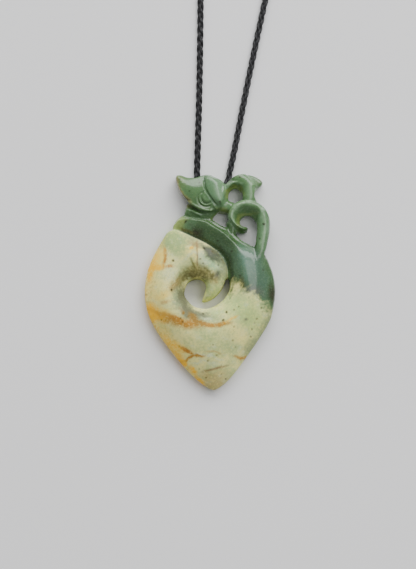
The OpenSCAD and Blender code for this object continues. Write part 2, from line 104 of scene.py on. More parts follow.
CARVED_LINES = (
    # The crest with its brow and its outer edge
    CarvedLine(2.4, 0.26, 0.1, (
        (-1.7, 31.8), (-1.7, 30.3), (-1.6, 28.7), (-1.3, 27.5), (-0.7, 26.2), (0, 25.1), (0.8, 24), (1.7, 23),
        (2.5, 22.3),
    ), Carving.STEP),
    CarvedLine(0.28, 0.4, 0.2, (
        (-1.75, 31.6), (-1.75, 30.3), (-1.65, 28.7), (-1.35, 27.5), (-0.75, 26.2), (-0.05, 25.1), (0.75, 24),
        (1.65, 23), (2.4, 22.3),
    ), Carving.CUT),
    CarvedLine(0.4, 0.08, 0.15, (
        (1.3, 31), (2.7, 30.2), (3.8, 29.2), (4.2, 27.9), (4.1, 26), (3.9, 24.4), (3.3, 23.2), (2.8, 22.7),
    )),
    # The eye's ring, lid, ball and pupil
    CarvedLine(0.28, 0.24, 0.08, (
        (-1.8, 26.5), (-2.7, 26.1), (-3.3, 25.3), (-3.5, 24.3), (-3.2, 23.3), (-2.5, 22.6), (-1.5, 22.2),
        (-0.4, 22.2), (0.5, 22.7),
    ), Carving.CUT),
    CarvedLine(0.28, 0.1, 0.08, (
        (-1.6, 26.7), (-2.3, 26.3), (-2.9, 25.5), (-3.05, 24.6), (-2.85, 23.6), (-2.2, 22.95), (-1.3, 22.6),
        (-0.2, 22.7), (0.6, 23.2),
    )),
    CarvedLine(0.26, 0.26, 0.08, (
        (-1.4, 26.9), (-1.9, 26.6), (-2.3, 25.8), (-2.6, 24.9), (-2.4, 24), (-1.9, 23.3), (-1.1, 23),
        (-0.2, 23.2), (0.4, 23.8),
    ), Carving.CUT),
    CarvedLine(0.36, 0.1, 0.1, (
        (-1, 26.2), (-0.5, 25.3), (0.1, 24.4), (-0.4, 24), (-1.2, 24), (-1.8, 24.6), (-1.4, 25.2),
    )),
    # The cheek, the jaw's rim and the throat's rim
    CarvedLine(0.26, 0.18, 0.25, ((0.9, 22.7), (1.5, 22), (2.2, 21.3))),
    CarvedLine(0.34, 0.14, 0.15, (
        (-9.5, 29.3), (-8.9, 27.9), (-8.1, 26.4), (-7.1, 24.9), (-6, 23.6), (-4.5, 22.5), (-3.1, 21.8),
        (-1.5, 21.2), (0, 20.9), (1.3, 21.1),
    )),
    CarvedLine(0.3, 0.26, 0.2, (
        (-6.1, 21.2), (-5.3, 20.9), (-4.2, 20.3), (-3.1, 19.8), (-2.3, 19.6),
    )),
    # The rims of the frond and the fluke
    CarvedLine(0.6, 0.16, 0.12, (
        (8.8, 14.9), (7.4, 15.8), (6.4, 17.4), (6.1, 19), (6.4, 20.8), (7.5, 22.3), (8.9, 23.2), (10.7, 23.6),
        (12.4, 23.3), (13.8, 22.5),
    )),
    CarvedLine(0.32, 0.14, 0.15, (
        (5, 27.3), (5.5, 28.5), (6.3, 29.3), (7.5, 29.6), (8.8, 29.4), (9.9, 28.6),
    )),
)


@dataclass(frozen=True)
class Swell:
    """A stretch of the front that is rounded over, along places in millimetres."""

    half: float
    edge: float
    crown: float
    places: tuple[Place, ...]


SWELLS = (
    Swell(2.05, 3.0, 5.4, (
        (13.6, 23), (14.8, 22), (15.6, 20.6), (15.9, 18.8), (15.9, 16.4), (15.7, 13.6), (15.3, 10.8),
        (14.9, 8.4), (14.4, 6.2), (13.9, 4),
    )),
    Swell(2.2, 2.8, 4.9, (
        (5.6, 30.2), (7.6, 30.9), (9.6, 30.4), (11.2, 28.8), (11.8, 26.8), (11.7, 24.8), (11.9, 22),
    )),
)
# Middle line of the right side's face
RIGHT_FACE = ((8.6, 12.6), (11.4, 9.6), (13.4, 5.6), (14.2, 1.4), (14, -3), (13.2, -7))
# Middle line of the head's face, which is smoothed before its lines are worked
HEAD_FACE = ((-6.6, 28.2), (-3.6, 26), (-0.6, 25.6), (1.8, 27.6), (1.6, 24.6))
# Edge of the pale lobe over the green arm, with the green on its left, and how many of its places
# the step between the two has
LOBE_EDGE = (
    (-16, 17.4), (-12.9, 15.6), (-10.9, 15.5), (-8.5, 14.7), (-5.2, 13.1), (-1.05, 11.1), (2.5, 8.4),
    (4.6, 5.2), (5.3, 2.2), (5.3, -0.6), (5.3, -6), (5.3, -20), (5.3, -40),
)
LOBE_STEP = 9
# Where the green fades out on the right side, with the green on its left
GREEN_FADE = (
    (4, -5), (6, -3.6), (6.8, -2.2), (8, -1), (9.2, -2.4), (11.2, -3.4), (13.8, -5.4), (16.2, -7.2),
    (18.9, -9.2), (24, -11),
)
# Middle of the pale rays that run up into the green
RAY_MIDDLE = (3.5, -10.0)
# Outer edge of the arm, with the bird and the frond on its left
ARM_EDGE = (
    (-20, 19.6), (-8.5, 20.1), (-3.4, 19.8), (0.2, 19.1), (3.6, 17), (6.1, 15.6), (9.4, 12.5), (13.2, 10.4),
    (16.6, 7.8), (24, 5),
)


def placed(name: str, data: Any) -> Piece:
    """Put an object with new data into the scene."""
    piece = bpy.data.objects.new(name, data)
    bpy.context.scene.collection.objects.link(piece)
    return piece


def meshed(name: str, shell: bmesh.types.BMesh) -> Piece:
    """Put a finished shell into the scene."""
    mesh = bpy.data.meshes.new(name)
    shell.to_mesh(mesh)
    shell.free()
    return placed(name, mesh)


def dressed(piece: Piece, finish: bpy.types.Material, node: str) -> None:
    """Give a piece its finish and its place in the frame.

    Args:
        piece: The piece.
        finish: Its material.
        node: The CAD node that it replaces.
    """
    piece.data.materials.clear()
    piece.data.materials.append(finish)
    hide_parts(node)
    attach(piece, ROOT)


def read_rows(items: Any, name: str) -> Rows:
    """Read three numbers of each item of a mesh."""
    data = np.zeros(len(items) * 3, np.float32)
    items.foreach_get(name, data)
    return data.reshape(-1, 3).astype(float)


def units(rows: Rows) -> Rows:
    """Scale each row of three values to length 1."""
    return rows / np.linalg.norm(rows, axis=1)[:, None]


def ramp(values: Rows, low: float, high: float) -> Rows:
    """Rise from 0 at low to 1 at high."""
    return np.clip((values - low) / (high - low), 0, 1)


def eased(share: Rows) -> Rows:
    """Ease a share between 0 and 1."""
    return share * share * (3 - 2 * share)


def waves(points: Rows) -> Rows:
    """Read smooth noise at each point."""
    return np.array([noise.noise(Vector(point)) for point in points])


def drift(points: Rows, scale: float, amount: float) -> Rows:
    """Work out how far smooth noise moves points, so that colours get natural edges.

    Args:
        points: The points in millimetres.
        scale: Size of the noise's waves, in millimetres.
        amount: How far it moves a point.

    Returns:
        The move of each point's x and y.
    """
    return amount * np.array([noise.noise_vector(Vector(point))[:2] for point in points / scale])


def smooth_path(points: Sequence[Sequence[float]], steps: int) -> Rows:
    """Run a smooth path through chosen points.

    Args:
        points: The chosen points, of two or three numbers each.
        steps: Number of stretches between two of them.

    Returns:
        The path's points, one row each.
    """
    rows = np.array(points, float)
    last = len(rows) - 1
    path = []
    for i in range(last):
        a, b, c, d = rows[max(i - 1, 0)], rows[i], rows[i + 1], rows[min(i + 2, last)]
        for t in np.arange(steps) / steps:
            path.append(0.5 * (2 * b + (c - a) * t + (2 * a - 5 * b + 4 * c - d) * t**2
                               + (3 * b - a - 3 * c + d) * t**3))
    return np.array([*path, rows[-1]])


def beside_path(places: Rows, path: Rows) -> tuple[Rows, Rows, Rows]:
    """Find how places lie to a path.

    Args:
        places: Rows of x and y.
        path: The path's points, also rows of x and y.

    Returns:
        Each place's gap, its share along the path from 0 to 1, and its gap with a minus to the path's right.
    """
    best = np.full(len(places), 1e9)
    share, side = np.zeros(len(places)), np.zeros(len(places))
    lengths = np.linalg.norm(np.diff(path, axis=0), axis=1)
    total, done = lengths.sum(), 0.0
    for start, end, length in zip(path[:-1], path[1:], lengths):
        across = (end - start) / length
        away = places - start
        along = np.clip(away @ across, 0, length)
        gap = np.linalg.norm(away - along[:, None] * across, axis=1)
        left = across[0] * away[:, 1] - across[1] * away[:, 0]
        clearer = (np.abs(gap - best) <= TINY) & (np.abs(left) > np.abs(side))
        side = np.where((gap < best - TINY) | clearer, left, side)
        share = np.where(gap < best, (done + along) / total, share)
        best = np.minimum(gap, best)
        done += length
    return best, share, np.where(side > 0, best, -best)


def math_method(operation: str, swapped: bool = False) -> Callable[["Sock", Any], "Sock"]:
    """Make one of a socket's operators, with the other value first where it is swapped."""
    def method(self: "Sock", other: Any) -> "Sock":
        """Add the Math node."""
        return self.net.math(operation, *((other, self) if swapped else (self, other)))
    return method


class Sock:
    """A number or socket in a material, on which Python's operators work."""

    __add__, __radd__ = math_method("ADD"), math_method("ADD", True)
    __sub__, __rsub__ = math_method("SUBTRACT"), math_method("SUBTRACT", True)
    __mul__ = math_method("MULTIPLY")

    def __init__(self, net: "Net", value: Any) -> None:
        """Keep the value with the net that it belongs to."""
        self.net = net
        self.value = value

    def clamped(self) -> "Sock":
        """Hold the value between 0 and 1."""
        return self.net.math("ADD", self, 0.0, clamp=True)

    def between(self, low: float, high: float) -> "Sock":
        """Ease from 0 at low to 1 at high."""
        return self.net.node(
            "MapRange", {"interpolation_type": "SMOOTHSTEP", "clamp": False},
            {"Value": self, "From Min": low, "From Max": high},
        )["Result"]


class Net:
    """The nodes of one material."""

    def __init__(self, name: str) -> None:
        """Make an empty material with its output."""
        self.material = bpy.data.materials.new(name)
        self.material.use_nodes = True
        self.tree = self.material.node_tree
        self.tree.nodes.clear()

    def node(self, kind: str, settings: dict[str, Any] | None = None,
             sockets: dict[str | int, Any] | None = None) -> dict[str | int, Sock]:
        """Add any node.

        Args:
            kind: The node's type, without ShaderNode.
            settings: Its settings, set before its sockets.
            sockets: Values or links of its inputs, by name or number.

        Returns:
            Its outputs by name and by number.
        """
        made = self.tree.nodes.new("ShaderNode" + kind)
        for key, value in (settings or {}).items():
            setattr(made, key, value)
        for key, value in (sockets or {}).items():
            entry = made.inputs[key]
            if isinstance(value, Sock):
                value = value.value
            if isinstance(value, bpy.types.NodeSocket):
                self.tree.links.new(value, entry)
            elif entry.type == "RGBA":
                entry.default_value = (*value, 1.0)
            else:
                entry.default_value = value
        outs: dict[str | int, Sock] = {}
        for number, out in enumerate(made.outputs):
            outs[number] = Sock(self, out)
            outs.setdefault(out.name, outs[number])
        return outs

    def math(self, operation: str, *values: Any, clamp: bool = False) -> Sock:
        """Add a Math node."""
        return self.node("Math", {"operation": operation, "use_clamp": clamp},
                         dict(enumerate(values)))["Value"]

    def mix(self, under: Any, over: Any, share: Any) -> Sock:
        """Mix two colours, where share 1 shows only the second."""
        return self.node("Mix", {"data_type": "RGBA"}, {0: share, 6: under, 7: over})[2]

    def noise(self, place: Sock, scale: float, detail: float, roughness: float = 0.55) -> Sock:
        """Add a noise texture at coordinates in metres."""
        return self.node("TexNoise", None, {
            "Vector": place, "Scale": scale, "Detail": detail, "Roughness": roughness,
        })["Fac"]

    def bump(self, height: Sock, strength: float, distance: float) -> Sock:
        """Add a bump whose greatest height is in metres."""
        return self.node("Bump", None, {
            "Strength": strength, "Distance": distance, "Height": height,
        })["Normal"]

    def finish(self, **sockets: Any) -> bpy.types.Material:
        """Close the material with a Principled shader.

        Args:
            sockets: Its inputs, with underscores for the spaces in their names.

        Returns:
            The material.
        """
        shader = self.node("BsdfPrincipled", None,
                           {key.replace("_", " "): value for key, value in sockets.items()})
        self.node("OutputMaterial", None, {"Surface": shader["BSDF"]})
        return self.material


@dataclass(frozen=True)
class Patch:
    """A patch of another colour in the stone, an ellipse in millimetres with a soft edge."""

    colour: Colour
    x: float
    y: float
    long: float
    wide: float
    turn: float
    share: float
    soft: float = 0.8

    def cover(self, places: Rows) -> Rows:
        """Work out how much of the patch's colour lies at places.

        Args:
            places: Rows of x and y in millimetres.

        Returns:
            A share from 0 to 1 for each place.
        """
        turn = math.radians(self.turn)
        x, y = places[:, 0] - self.x, places[:, 1] - self.y
        along = (x * math.cos(turn) + y * math.sin(turn)) / self.long
        across = (y * math.cos(turn) - x * math.sin(turn)) / self.wide
        return self.share * eased(ramp(np.hypot(along, across), 1 + self.soft, 1 - self.soft))


def vein(colour: Colour, wide: float, share: float, *places: Place, soft: float = 0.9) -> list[Patch]:
    """Lay narrow patches end to end along a vein.

    Args:
        colour: Its colour.
        wide: Half its width, in millimetres.
        share: How much of the stone's own colour it covers.
        places: Its bends.
        soft: How soft its edge is.

    Returns:
        One patch for each stretch.
    """
    patches = []
    for (x0, y0), (x1, y1) in zip(places[:-1], places[1:]):
        half = math.hypot(x1 - x0, y1 - y0) / 2
        patches.append(Patch(colour, (x0 + x1) / 2, (y0 + y1) / 2, half * 1.3 + wide / 2, wide,
                             math.degrees(math.atan2(y1 - y0, x1 - x0)), share, soft))
    return patches


# The stone's colours, as linear red, green and blue, with the painted shade, painted sheen, painted highlight
# and painted glow that are laid over them
CREAM = (0.86, 0.82, 0.31)
BUTTER = (0.98, 0.88, 0.27)
PALE = (0.61, 0.67, 0.28)
SAGE = (0.31, 0.44, 0.165)
MINT = (0.36, 0.58, 0.31)
MILK = (0.68, 0.76, 0.46)
SPRING = (0.48, 0.64, 0.21)
LEAF = (0.065, 0.135, 0.047)
FERN = (0.085, 0.185, 0.07)
# the arm's own dark green, also laid as painted shade along the right edge
MOSS_AND_SHADE = (0.044, 0.096, 0.037)
# painted shade: near black green laid along the lobe's step over the arm
STEP_SHADE = (0.014, 0.032, 0.009)
TEAL = (0.056, 0.118, 0.072)
# olive brown of the stone, also laid as painted shade on the slope above the eye hole
OLIVE_AND_SHADE = (0.1, 0.095, 0.026)
# the stone's dark brown specks and marks, also laid as painted shade under the lobe's step and on the right
# edge
BARK_AND_SHADE = (0.02, 0.016, 0.005)
RUST = (0.47, 0.2, 0.026)
GOLD = (1, 0.55, 0.02)
PEACH = (0.95, 0.72, 0.15)
WINE = (0.22, 0.105, 0.055)
GREY = (0.07, 0.095, 0.048)
SMOKE = (0.115, 0.12, 0.095)
# yellow-green of the stone at the beak and barb, also laid as painted glow round the holes' thin rims
LIME_AND_GLOW = (0.22, 0.29, 0.07)
LEMON = (0.46, 0.5, 0.06)
JADE = (0.11, 0.225, 0.11)
OCHRE = (0.46, 0.235, 0.032)
CHALK = (0.92, 0.86, 0.62)
AMBER = (0.23, 0.13, 0.01)
# painted sheen: lighter blue-green laid on the arm's crown where it catches the light
PAINTED_SHEEN = (0.105, 0.215, 0.15)
# painted shade: dark grey-olive laid on the slope that falls into the eye hole
FUNNEL_SHADE = (0.125, 0.132, 0.066)
# painted highlight: pale green laid along the rims and crowns of the frond and the fluke and on the crest's
# edge
PAINTED_HIGHLIGHT = (0.22, 0.36, 0.2)
POND = (0.064, 0.132, 0.062)
SHADE = (0.205, 0.26, 0.13)
TAN = (0.36, 0.25, 0.085)
KHAKI = (0.5, 0.4, 0.15)
# What lies in the pale stone, from the lowest layer up, with painted shade round the eye hole and along the
# lower right edge
PALE_PATCHES = (
    Patch(CREAM, -13.6, -3, 4.6, 7.6, 0, 0.8, 0.7),
    Patch(BUTTER, -16, -2.3, 2.2, 4, 0, 0.6),
    Patch(MILK, -12.1, 1.6, 2.6, 1.7, 20, 0.6),
    Patch(SAGE, 0.6, -17.6, 6.6, 3.6, -8, 0.45),
    Patch(SAGE, 4, -21, 5, 1.4, 12, 0.4),
    Patch(SPRING, 9.6, -8.8, 6.4, 3.8, -28, 0.85, 0.7),
    Patch(SPRING, 12.5, -12.5, 4.4, 2.6, -50, 0.5),
    Patch(BUTTER, 6.1, -14.6, 2, 1, 0, 0.55),
    Patch(BUTTER, 9.8, -17.4, 2.2, 1.3, -20, 0.6),
    Patch(PEACH, -14.6, -14.9, 4, 2.2, -57, 0.7),
    Patch(PEACH, -11.4, -18.6, 3.8, 1.9, -52, 0.75),
    Patch(CREAM, -7, -16.6, 4, 2.4, -50, 0.6),
    # Painted shade along the lower right edge, where the face slopes away from the light
    *vein(SHADE, 1.9, 0.8, (18.8, -9.2), (18, -12), (16.4, -15.2), (13.6, -19.2), (11, -22.4)),
    Patch(SAGE, -10.4, 11.3, 5.2, 3.6, -15, 0.95, 0.5),
    Patch(SPRING, -12, 13.4, 2.6, 1.8, 20, 0.45),
    Patch(SHADE, -4, 12, 3.2, 1.4, -33, 0.7),
    Patch(BUTTER, -5, 8.3, 2.6, 1.5, 0, 0.85, 0.9),
    *vein(BUTTER, 0.45, 0.8, (-7.4, 8.8), (-5, 8.4), (-2.4, 8.8)),
    *vein(BUTTER, 0.5, 0.75, (-6.4, 10), (-5, 8.4), (-4.1, 6.2), (-4, 3.8)),
    *vein(MILK, 0.4, 0.7, (-6.6, 6.6), (-5, 8.4), (-3.2, 7.2)),
    Patch(TAN, -4.2, 10.6, 1.7, 0.8, -28, 0.75),
    Patch(MILK, -2, 7.3, 1.5, 1.3, 0, 0.8),
    Patch(MINT, 0.4, 4.9, 3, 1.9, -38, 0.95, 0.7),
    Patch(MINT, 2.6, 3.3, 1.4, 1.3, -50, 0.8),
    Patch(MILK, -1.4, 5.2, 1.3, 1.2, 0, 0.6),
    Patch(SHADE, -0.9, 9, 1.9, 0.9, -32, 0.9),
    Patch(GREY, 1.6, 7.2, 4.6, 1.7, -42, 1, 0.5),
    Patch(SMOKE, 0.2, 8.2, 1.5, 0.6, -32, 0.8, 0.9),
    Patch(GREY, 2.6, 6.6, 1.6, 0.8, -48, 0.9, 0.9),
    Patch(SHADE, 4.1, 4.6, 2.8, 1, -72, 0.95),
    Patch(SHADE, 4.3, 0.6, 0.9, 2.8, 0, 0.8, 0.9),
    Patch(SMOKE, 2.2, 1.3, 1.6, 1, 55, 1, 0.9),
    Patch(GREY, 2.9, 2, 0.8, 0.6, 30, 0.7),
    Patch(SPRING, 1, -3.2, 3.4, 1.8, 62, 0.55),
    Patch(TAN, 1.6, -0.4, 1.1, 0.7, 60, 0.7, 0.9),
    *vein(LEMON, 0.5, 0.75, (-2.6, -6.3), (0.6, -6.8), (2.8, -5.4), (3.9, -3.4)),
    Patch(SAGE, -0.6, -1.6, 0.8, 1.9, 8, 0.6),
    # Olive above the eye hole: partly the stone's olive, partly painted shade where the slope falls into the
    # hole
    *vein(OLIVE_AND_SHADE, 1.5, 0.7, (-10.4, -2.8), (-8.9, -0.1), (-7.2, 1.8), (-4.2, 2.9), (-1.4, 2.2), (0.5, 0.9)),
    *vein(OLIVE_AND_SHADE, 0.8, 0.75, (-8.3, -1), (-6.6, 0.9), (-4.2, 1.6), (-2, 0.9)),
    *vein(OLIVE_AND_SHADE, 0.35, 0.6, (-1.4, 3.6), (0.2, 2), (1, 0.4)),
    Patch(OCHRE, -10.8, -2, 1.8, 1.1, 38, 0.6, 0.9),
    # Painted shade on the slope that falls into the eye hole, on its left and below it
    *vein(SHADE, 1.6, 0.8, (-9.2, -3), (-9.4, -5.4), (-8.8, -7.6), (-7.4, -9.4), (-5.2, -10.8), (-2.2, -11.4),
        (0.8, -11.4)),
    *vein(FUNNEL_SHADE, 1.3, 1, (-7.8, -3.2), (-8, -5.4), (-7.6, -7.4), (-6.4, -9.2), (-4.6, -10.2)),
    Patch(FUNNEL_SHADE, -2.4, -10.8, 2.6, 1, -6, 0.75, 0.9),
    Patch(TAN, -8.6, -9, 1, 0.6, -40, 0.5),
    Patch(MILK, -0.8, -11.9, 1.8, 0.6, -4, 0.5),
    Patch(SPRING, 2.6, -9.8, 2.6, 0.9, 18, 0.7),
    *vein(GOLD, 0.75, 0.6, (-14.8, 10), (-16.9, 5.1), (-18.3, 1.7), (-19.2, -2.3), (-19.1, -6.8),
        (-18.4, -9.6)),
    Patch(PEACH, -17.6, -2.4, 1.5, 10, 2, 0.6, 0.9),
    *vein(GOLD, 0.9, 0.45, (-18.2, -10), (-15.9, -15.2), (-12.3, -20.3), (-8.2, -25.3), (-4.2, -29.8),
        (-1.4, -32)),
    Patch(PEACH, -7.4, -20.8, 3.2, 1.1, -25, 0.7),
    Patch(KHAKI, 1.2, -30.4, 5, 2.9, 0, 0.9),
    Patch(KHAKI, 1.4, -27.8, 3.4, 0.9, 8, 0.5, 0.9),
    *vein(MILK, 0.36, 0.85, (-5.8, -22.9), (-2.7, -22.1), (0.5, -22.6), (3.2, -23.6), soft=0.8),
    *vein(MILK, 0.3, 0.6, (-4.6, -24.6), (-1.2, -24.2), (2.4, -25), soft=0.8),
    *vein(CREAM, 0.34, 0.8, (5.8, -25.8), (7.8, -25), (9.8, -24), soft=0.8),
)
# The rust-coloured veins and stains, which are speckled
VEIN_PATCHES = (
    *vein(RUST, 0.4, 0.8, (-13.3, 9.2), (-13.2, 6.6), (-13.5, 4.6)),
    Patch(GOLD, -15.8, 3.8, 2, 0.9, 0, 0.9),
    Patch(RUST, -11.8, 3.9, 1.2, 0.5, 10, 0.7),
    Patch(GOLD, -16.4, 5.6, 2.8, 0.9, 66, 0.6, 0.9),
    Patch(PEACH, -14.6, 6.8, 2.6, 1.1, 75, 0.8, 0.9),
    Patch(GOLD, -17.6, 1.8, 1.8, 0.8, 80, 0.8, 0.9),
    Patch(GOLD, -5.4, 9.5, 0.6, 0.4, 30, 0.9),
    Patch(PEACH, -14, -4.8, 2, 1, 20, 0.7, 0.9),
    Patch(RUST, -13.2, -6.8, 1.6, 0.6, 10, 0.45, 0.9),
    Patch(GOLD, -17.2, -8.6, 1.9, 1.3, -40, 1),
    Patch(GOLD, -17.4, -10.6, 1.4, 1.1, -50, 0.9),
    Patch(GOLD, -15.4, -10.4, 2.4, 1.3, -30, 0.8, 0.9),
    Patch(PEACH, -13.6, -9.4, 2.2, 0.9, -28, 0.7, 0.9),
    *vein(RUST, 0.5, 0.7, (-17.2, -8.8), (-14.6, -10), (-11.4, -10.9), (-9.4, -11.8)),
    *vein(OCHRE, 1.25, 0.8, (-13, -11.2), (-10, -12.3), (-7, -13.1), (-3.6, -13.6)),
    *vein(RUST, 0.45, 0.5, (-11.4, -11.9), (-8.4, -12.9), (-5.6, -13.3)),
    Patch(AMBER, -7.8, -9.8, 0.5, 0.45, 0, 0.9),
    Patch(GOLD, -8.8, -23, 2.2, 1.1, -50, 0.6, 0.9),
    Patch(GOLD, -12.2, -18.6, 3, 0.8, -55, 0.5, 0.9),
    *vein(AMBER, 0.8, 0.9, (-5.6, -10.4), (-4.9, -11.6), (-3.8, -12.8), (-1.9, -13.5)),
    *vein(OCHRE, 0.62, 0.75, (-1.9, -13.6), (0.6, -13.9), (3.2, -13.5), (5.4, -13.2)),
    *vein(GOLD, 0.32, 0.45, (4.6, -12.9), (6.4, -11.9), (7.7, -11.1)),
    *vein(RUST, 0.5, 0.75, (-8, -20.2), (-6.6, -21), (-5.4, -21.8), soft=0.8),
    Patch(GOLD, -9.8, -19.6, 2.2, 0.8, -42, 0.6, 0.9),
    *vein(OCHRE, 0.36, 0.9, (-8.2, -23.9), (-5, -22.7), (-2.3, -22.5)),
    Patch(GOLD, -7.9, -24.3, 1.2, 0.7, -45, 1),
    Patch(GOLD, -5, -26.6, 1.4, 0.6, -45, 0.8),
    Patch(GOLD, -3, -29.6, 1.8, 0.6, -48, 0.7),
    *vein(OCHRE, 0.4, 0.7, (7.6, -22.5), (9.4, -22.9), (11.2, -22.6), soft=0.8),
    *vein(RUST, 0.26, 0.4, (-0.4, -21.3), (2.6, -21.6)),
)
# What lies in the green stone, from the lowest layer up, with painted shade along the lobe's step and the right
# edge, painted sheen on the arm, painted highlights on the rims and painted glow round the holes
GREEN_PATCHES = (
    Patch(MOSS_AND_SHADE, 3, 11, 13, 4.6, -34, 0.95, 0.5),
    Patch(MOSS_AND_SHADE, 7.8, 5, 9, 3.6, -62, 0.85, 0.5),
    Patch(POND, 6.6, 5.8, 5, 1.9, -60, 0.75),
    Patch(POND, 3.4, 10.2, 4, 1.4, -38, 0.55),
    Patch(TEAL, 14, 2, 3.6, 8, 14, 0.95, 0.5),
    # Painted sheen on the arm's crown
    Patch(PAINTED_SHEEN, 10.6, 5.2, 2.2, 4.2, 14, 0.8, 0.9),
    Patch(FERN, 10.6, 30.3, 7, 3.6, 0, 0.95, 0.6),
    Patch(LEAF, 15.4, 29.8, 2.6, 1.8, -10, 0.9),
    # Painted shade along the right edge, where the face turns away from the light
    *vein(MOSS_AND_SHADE, 1.5, 0.8, (17, 9), (18.4, 5), (19.2, 0.6), (19, -4)),
    Patch(LEAF, -7.6, 29.2, 2.8, 1.6, -38, 0.6),
    Patch(FERN, 11.6, 25.6, 2.6, 3, 0, 0.9, 0.6),
    Patch(JADE, 1.6, 27.6, 3.2, 5.4, 20, 0.9, 0.6),
    Patch(FERN, -5, 27.2, 4.8, 3.4, -30, 0.75, 0.6),
    Patch(FERN, 10.6, 22, 4.2, 2.4, 0, 0.8, 0.7),
    Patch(JADE, 15.9, 16, 1.6, 8, 0, 0.8),
    # Painted highlights along the frond's rim and right band, the fluke's rim and crown, and the crest's edge
    *vein(PAINTED_HIGHLIGHT, 0.6, 0.75, (8, 15.4), (6.6, 17.2), (6.2, 19), (6.6, 20.8), (7.7, 22.2), (9, 23), (10.7, 23.4),
        (12.4, 23.1)),
    *vein(PAINTED_HIGHLIGHT, 0.5, 0.5, (15.2, 21.8), (16, 19.4), (16.1, 16.4), (15.9, 13.2), (15.5, 10.6)),
    *vein(PAINTED_HIGHLIGHT, 0.35, 0.6, (5, 27.4), (5.6, 28.7), (7, 29.6), (8.8, 29.5)),
    Patch(PAINTED_HIGHLIGHT, 11.7, 27.2, 3.6, 0.8, 88, 0.45, 0.9),
    # Painted glow of light through the thin rim round the fluke's hole
    *vein(LIME_AND_GLOW, 0.5, 0.65, (5.3, 25.4), (5.6, 27.4), (7.4, 28.4), (9.2, 27.8), (9.8, 26.4)),
    Patch(PAINTED_HIGHLIGHT, 3.2, 25.6, 1.4, 2.6, 12, 0.35, 0.9),
    # Painted glow of light through the thin rims round the frond's hole and the hole below the head
    *vein(LIME_AND_GLOW, 0.6, 0.5, (8.4, 16.4), (8.5, 18.8), (9.9, 20.1), (12.8, 20.3)),
    *vein(LIME_AND_GLOW, 0.55, 0.6, (1.4, 19.6), (3.4, 21.3), (5.4, 21.1)),
    Patch(LIME_AND_GLOW, -9.7, 31, 2.6, 1.8, -50, 0.35),
    *vein(TAN, 0.55, 0.45, (-9.9, 31), (-9.9, 29.6), (-9, 27.6), (-8, 26)),
    # Painted shade along the lobe's edge, where the arm lies lower under the step
    *vein(STEP_SHADE, 0.8, 0.75, (-9, 15.6), (-6.6, 14.6), (-4, 13.2), (-0.4, 11.6), (3.4, 9), (5.6, 5.6), (6.2, 1.8),
        (5.8, -2)),
    Patch(SPRING, -11.2, 16.6, 3.4, 1.8, 30, 0.95, 0.7),
    Patch(LIME_AND_GLOW, -9, 17.4, 2.6, 1.2, 12, 0.65),
    Patch(JADE, -6, 16.8, 1.9, 1.1, 12, 0.85),
    # Dark brown under the lobe's step: partly the stone's own dark brown, partly painted shade
    Patch(BARK_AND_SHADE, -4, 14.9, 2.2, 1.3, -38, 0.85, 0.9),
    Patch(OLIVE_AND_SHADE, -7.4, 15.4, 2.4, 0.6, -18, 0.75),
    Patch(BARK_AND_SHADE, -7.1, 17.8, 0.55, 0.42, 0, 0.9, 0.5),
    Patch(FERN, -6, 20.4, 3, 1.4, -20, 0.6),
    # Painted shade on the right edge, where the face turns away from the light
    Patch(BARK_AND_SHADE, 18.4, -4.4, 1.2, 3, 0, 0.85, 0.9),
    Patch(SMOKE, 12.8, -3.2, 2.6, 1.3, -15, 0.8),
    Patch(OLIVE_AND_SHADE, 9.7, -1, 0.8, 1.5, 0, 0.75, 0.9),
    *vein(TAN, 0.6, 0.45, (-9.2, 27.2), (-8, 25), (-6.4, 23.2)),
    *vein(BARK_AND_SHADE, 0.32, 0.85, (-8.4, 25.9), (-7.3, 24.5), (-6.5, 23.8), soft=0.8),
)
# Places of the dark specks, in millimetres
BIG_SPECKS = ((-10.8, 5.6), (3.9, -12.2), (-11.3, -3.1), (4.9, -9.7), (-1.6, 9.3), (15.9, 16.8))
SMALL_SPECKS = (
    (-2.8, 6.1), (-14.8, 7.3), (-13.2, 9.1), (-6.6, 0.3), (-1.9, 4.8), (7.1, -9), (8.5, -8.1), (-1.9, -10.1),
    (13.8, -11.5), (15.2, -8.3), (12, -16.7), (6.7, -17.9), (4.7, -29.1), (12.4, -14.5), (6.4, 8.6),
    (3, 23.6), (-8.8, 30.6), (-5.9, 26.8), (2.3, 11.9), (8.9, 31.2), (-3.1, 29.4), (9, 1.2), (-0.6, -24),
    (14.8, 12.5), (2.4, 8.4), (3.4, 6), (0.8, 8.4), (-9, -19.6), (-1, -28.8),
)
# What stands out over both stones
SPECKS = (
    *(Patch(BARK_AND_SHADE, x, y, 0.44, 0.36, 35 * i, 0.95, 0.5) for i, (x, y) in enumerate(BIG_SPECKS)),
    *(Patch(BARK_AND_SHADE, x, y, 0.27, 0.25, 50 * i, 0.85, 0.7) for i, (x, y) in enumerate(SMALL_SPECKS)),
    *vein(WINE, 0.22, 0.85, (-3.8, 11), (-3.8, 8.8), (-3.7, 6.8), (-3.6, 4.4), soft=0.7),
    *vein(OLIVE_AND_SHADE, 0.26, 0.7, (-5.7, 6.5), (-5.1, 5), (-4.3, 3.6), soft=0.8),
    *vein(WINE, 0.3, 0.75, (-1.6, -27), (0.5, -26.5), (2.3, -26.1), (4.8, -25.4)),
    Patch(SMOKE, 10.6, -11.9, 0.6, 0.42, 20, 0.8),
    Patch(TAN, -3.7, 10.4, 0.45, 1.1, 0, 0.75, 0.9),
    Patch(OLIVE_AND_SHADE, 1, 8.3, 0.9, 0.35, -35, 0.7, 0.9),
    Patch(BARK_AND_SHADE, 2.6, 7.2, 0.8, 0.35, -45, 0.45, 0.9),
    Patch(OLIVE_AND_SHADE, 3.9, 5.4, 0.8, 0.35, -60, 0.6, 0.9),
)


